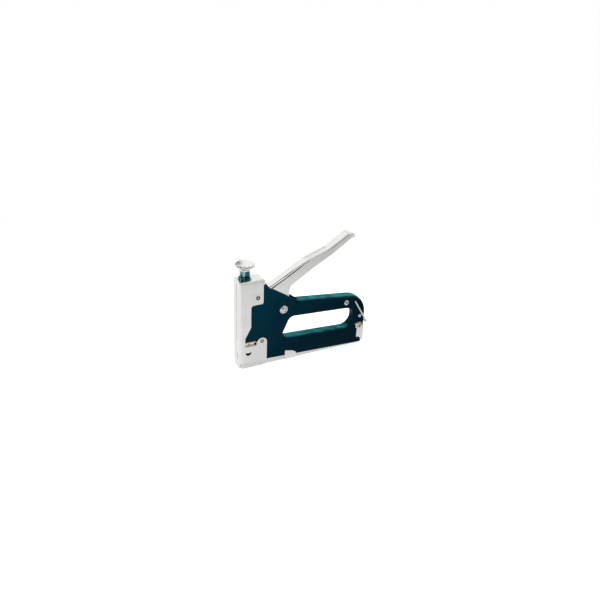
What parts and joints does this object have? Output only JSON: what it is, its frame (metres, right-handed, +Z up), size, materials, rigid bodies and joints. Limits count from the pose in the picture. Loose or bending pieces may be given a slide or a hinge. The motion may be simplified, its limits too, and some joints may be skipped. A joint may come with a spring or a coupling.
{
  "type": "staple gun",
  "caption": "Hand staple gun with a pressed two-shell body, bright nose cover, raised squeeze lever, turning power knob, pull-out staple magazine and wire lever lock",
  "frame": {"origin": "centre of the bounding box's footprint, on the flat base of the nose and magazine", "axes": "+Z up away from the work, +X towards the rear of the tool so that the nose is at -X, +Y to the right-hand shell, with the tool's middle plane at Y = 0"},
  "size_m": [0.1595, 0.021, 0.1377],
  "materials": {
    "teal_paint": "gloss",
    "bright_plate": "satin",
    "zinc_steel": "satin",
    "yellow_zinc": "satin",
    "dark_steel": "matte",
    "spring_steel": "satin",
    "staple_wire": "gloss"
  },
  "bodies": {
    "body": {"nose_cover": "bright_plate", "nose_plates": "zinc_steel", "nose_frame": "yellow_zinc", "left_shell": "teal_paint", "right_shell": "teal_paint", "body_spacers": "zinc_steel", "body_rivets": "zinc_steel", "cover_rivets": "zinc_steel", "rear_bolt": "zinc_steel", "rear_nut": "yellow_zinc", "power_collar": "bright_plate", "power_spring": "spring_steel", "lever_pivot_pin": "zinc_steel", "magazine_channel": "zinc_steel", "magazine_tabs": "bright_plate", "staple_strip": "staple_wire"},
    "lever": {"lever": "bright_plate", "lifting_arm": "dark_steel", "arm_rivets": "zinc_steel"},
    "striker": {"striker": "dark_steel", "driver_blade": "dark_steel"},
    "knob": {"adjusting_knob": "bright_plate", "adjusting_screw": "zinc_steel"},
    "seat": {"spring_seat": "dark_steel"},
    "rail": {"magazine_rail": "zinc_steel", "rear_latch": "bright_plate", "pusher_rod": "zinc_steel", "pusher_spring": "spring_steel"},
    "pusher": {"pusher": "dark_steel"},
    "lock": {"wire_lock": "spring_steel"}
  },
  "joints": [
    {"name": "lever_squeeze", "type": "hinge", "parent": "body", "child": "lever", "pos_m": [-0.02821, 0, 0.063], "axis": [0, 1, 0], "range_deg": [0, 38], "stiffness_Nm_per_rad": 5, "springref_deg": -11.46},
    {"name": "striker_lift", "type": "slide", "parent": "body", "child": "striker", "axis": [0, 0, 1], "range_m": [0, 0.0171], "deforming": ["power_spring"]},
    {"name": "knob_turn", "type": "hinge", "parent": "body", "child": "knob", "pos_m": [-0.06931, 0, 0.1], "axis": [0, 0, 1], "range_deg": [0, 1440]},
    {"name": "seat_travel", "type": "slide", "parent": "body", "child": "seat", "axis": [0, 0, -1], "range_m": [0, 0.0061]},
    {"name": "rail_pull", "type": "slide", "parent": "body", "child": "rail", "axis": [1, 0, 0], "range_m": [0, 0.095]},
    {"name": "pusher_slide", "type": "slide", "parent": "rail", "child": "pusher", "axis": [1, 0, 0], "range_m": [0, 0.07], "stiffness_N_per_m": 100, "springref_m": -0.05, "deforming": ["pusher_spring"]},
    {"name": "lock_swing", "type": "hinge", "parent": "body", "child": "lock", "pos_m": [0.06119, 0, 0.055], "axis": [0, -1, 0], "range_deg": [0, 108]}
  ],
  "couplings": [
    {"joint": "striker_lift", "follows": "lever_squeeze", "m_per_rad": 0.025624},
    {"joint": "seat_travel", "follows": "knob_turn", "m_per_rad": 0.00023873}
  ]
}
